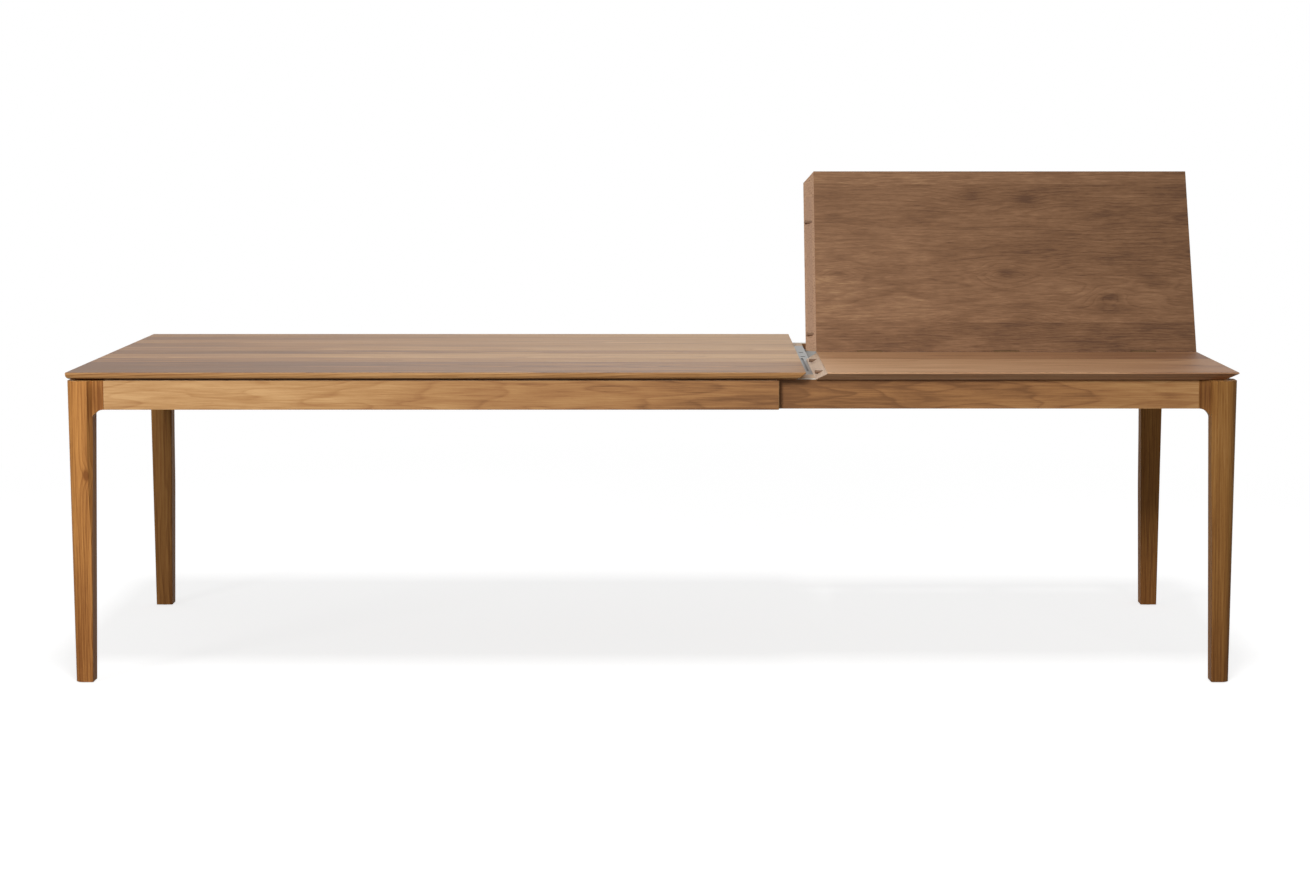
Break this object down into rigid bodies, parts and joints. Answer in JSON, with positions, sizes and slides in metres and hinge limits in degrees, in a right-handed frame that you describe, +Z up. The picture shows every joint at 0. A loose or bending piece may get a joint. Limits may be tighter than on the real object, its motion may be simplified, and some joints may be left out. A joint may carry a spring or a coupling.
{
  "type": "extendable dining table",
  "caption": "Rectangular wooden dining table on tapered legs, pulled out on telescopic runners, with a fold-out end leaf whose back half stands up.",
  "frame": {"origin": "on the floor, under the middle of the table's bounding box as it stands pulled out", "axes": "+X along the table towards the end that pulls out, +Y from the front edge to the back edge, +Z up"},
  "size_m": [2.852, 1, 1.235],
  "materials": {
    "teak_top": "oiled, fine planed boards",
    "teak_leaf": "oiled, fine planed boards",
    "teak_frame": "oiled",
    "pale_strip": "oiled",
    "hidden_beech": "sanded",
    "beech_dowel": "turned",
    "dark_packer": "stained dark",
    "nylon": "natural nylon",
    "felt_black": "moulded glide",
    "aluminium": "satin anodised",
    "brass": "brushed",
    "steel": "zinc plated"
  },
  "bodies": {
    "main_frame": {"catch_plate": "steel", "corner_block_back_left": "hidden_beech", "corner_block_front_left": "hidden_beech", "cross_rail": "hidden_beech", "dowel_bushes": "nylon", "end_apron_left": "teak_frame", "fixed_runner_back": "aluminium", "fixed_runner_front": "aluminium", "foot_glide_back_left": "felt_black", "foot_glide_front_left": "felt_black", "leg_back_left": "teak_frame", "leg_bolts_left": "steel", "leg_front_left": "teak_frame", "leg_nuts_left": "steel", "lip_rail": "aluminium", "lip_rail_blocks": "hidden_beech", "lip_rail_rubbers": "felt_black", "lock_pin": "steel", "main_top": "teak_top", "outer_apron_back": "teak_frame", "outer_apron_front": "teak_frame", "runner_rail_back": "hidden_beech", "runner_rail_front": "hidden_beech", "runner_screws_fixed": "steel", "top_battens": "hidden_beech", "top_packers": "dark_packer"},
    "end_frame": {"corner_block_back_right": "hidden_beech", "corner_block_front_right": "hidden_beech", "end_apron_right": "teak_frame", "fold_hinge_pins": "brass", "fold_hinges_front": "brass", "fold_screws_front": "steel", "foot_glide_back_right": "felt_black", "foot_glide_front_right": "felt_black", "glide_strips": "nylon", "inner_apron_back": "teak_frame", "inner_apron_front": "teak_frame", "leaf_dowels_front": "beech_dowel", "leaf_front": "teak_leaf", "leaf_seat": "dark_packer", "leg_back_right": "teak_frame", "leg_bolts_right": "steel", "leg_front_right": "teak_frame", "leg_nuts_right": "steel", "lock_axle": "steel", "lock_boss": "steel", "moving_runner_back": "aluminium", "moving_runner_front": "aluminium", "runner_screws_moving": "steel", "storage_slats": "hidden_beech"},
    "middle_front": {"middle_runner_front": "aluminium", "runner_pads_front": "nylon"},
    "middle_back": {"middle_runner_back": "aluminium", "runner_pads_back": "nylon"},
    "leaf_back": {"leaf_back": "teak_leaf", "leaf_back_strip": "pale_strip", "leaf_dowels_back": "beech_dowel", "fold_hinges_back": "brass", "fold_screws_back": "steel"},
    "lock_lever": {"lock_lever": "steel"}
  },
  "joints": [
    {"name": "extension_slide", "type": "slide", "parent": "main_frame", "child": "end_frame", "axis": [1, 0, 0], "range_m": [-0.0516, 0]},
    {"name": "middle_slide_front", "type": "slide", "parent": "main_frame", "child": "middle_front", "axis": [1, 0, 0], "range_m": [-0.0258, 0]},
    {"name": "middle_slide_back", "type": "slide", "parent": "main_frame", "child": "middle_back", "axis": [1, 0, 0], "range_m": [-0.0258, 0]},
    {"name": "leaf_fold", "type": "hinge", "parent": "end_frame", "child": "leaf_back", "pos_m": [0.926, 0, 0.7653], "axis": [1, 0, 0], "range_deg": [-70, 110]},
    {"name": "lock_turn", "type": "hinge", "parent": "end_frame", "child": "lock_lever", "pos_m": [0.4696, -0.25, 0.733], "axis": [0, 0, 1], "range_deg": [-80, 0]}
  ],
  "couplings": [
    {"joint": "middle_slide_front", "follows": "extension_slide", "ratio": 0.5},
    {"joint": "middle_slide_back", "follows": "extension_slide", "ratio": 0.5}
  ]
}
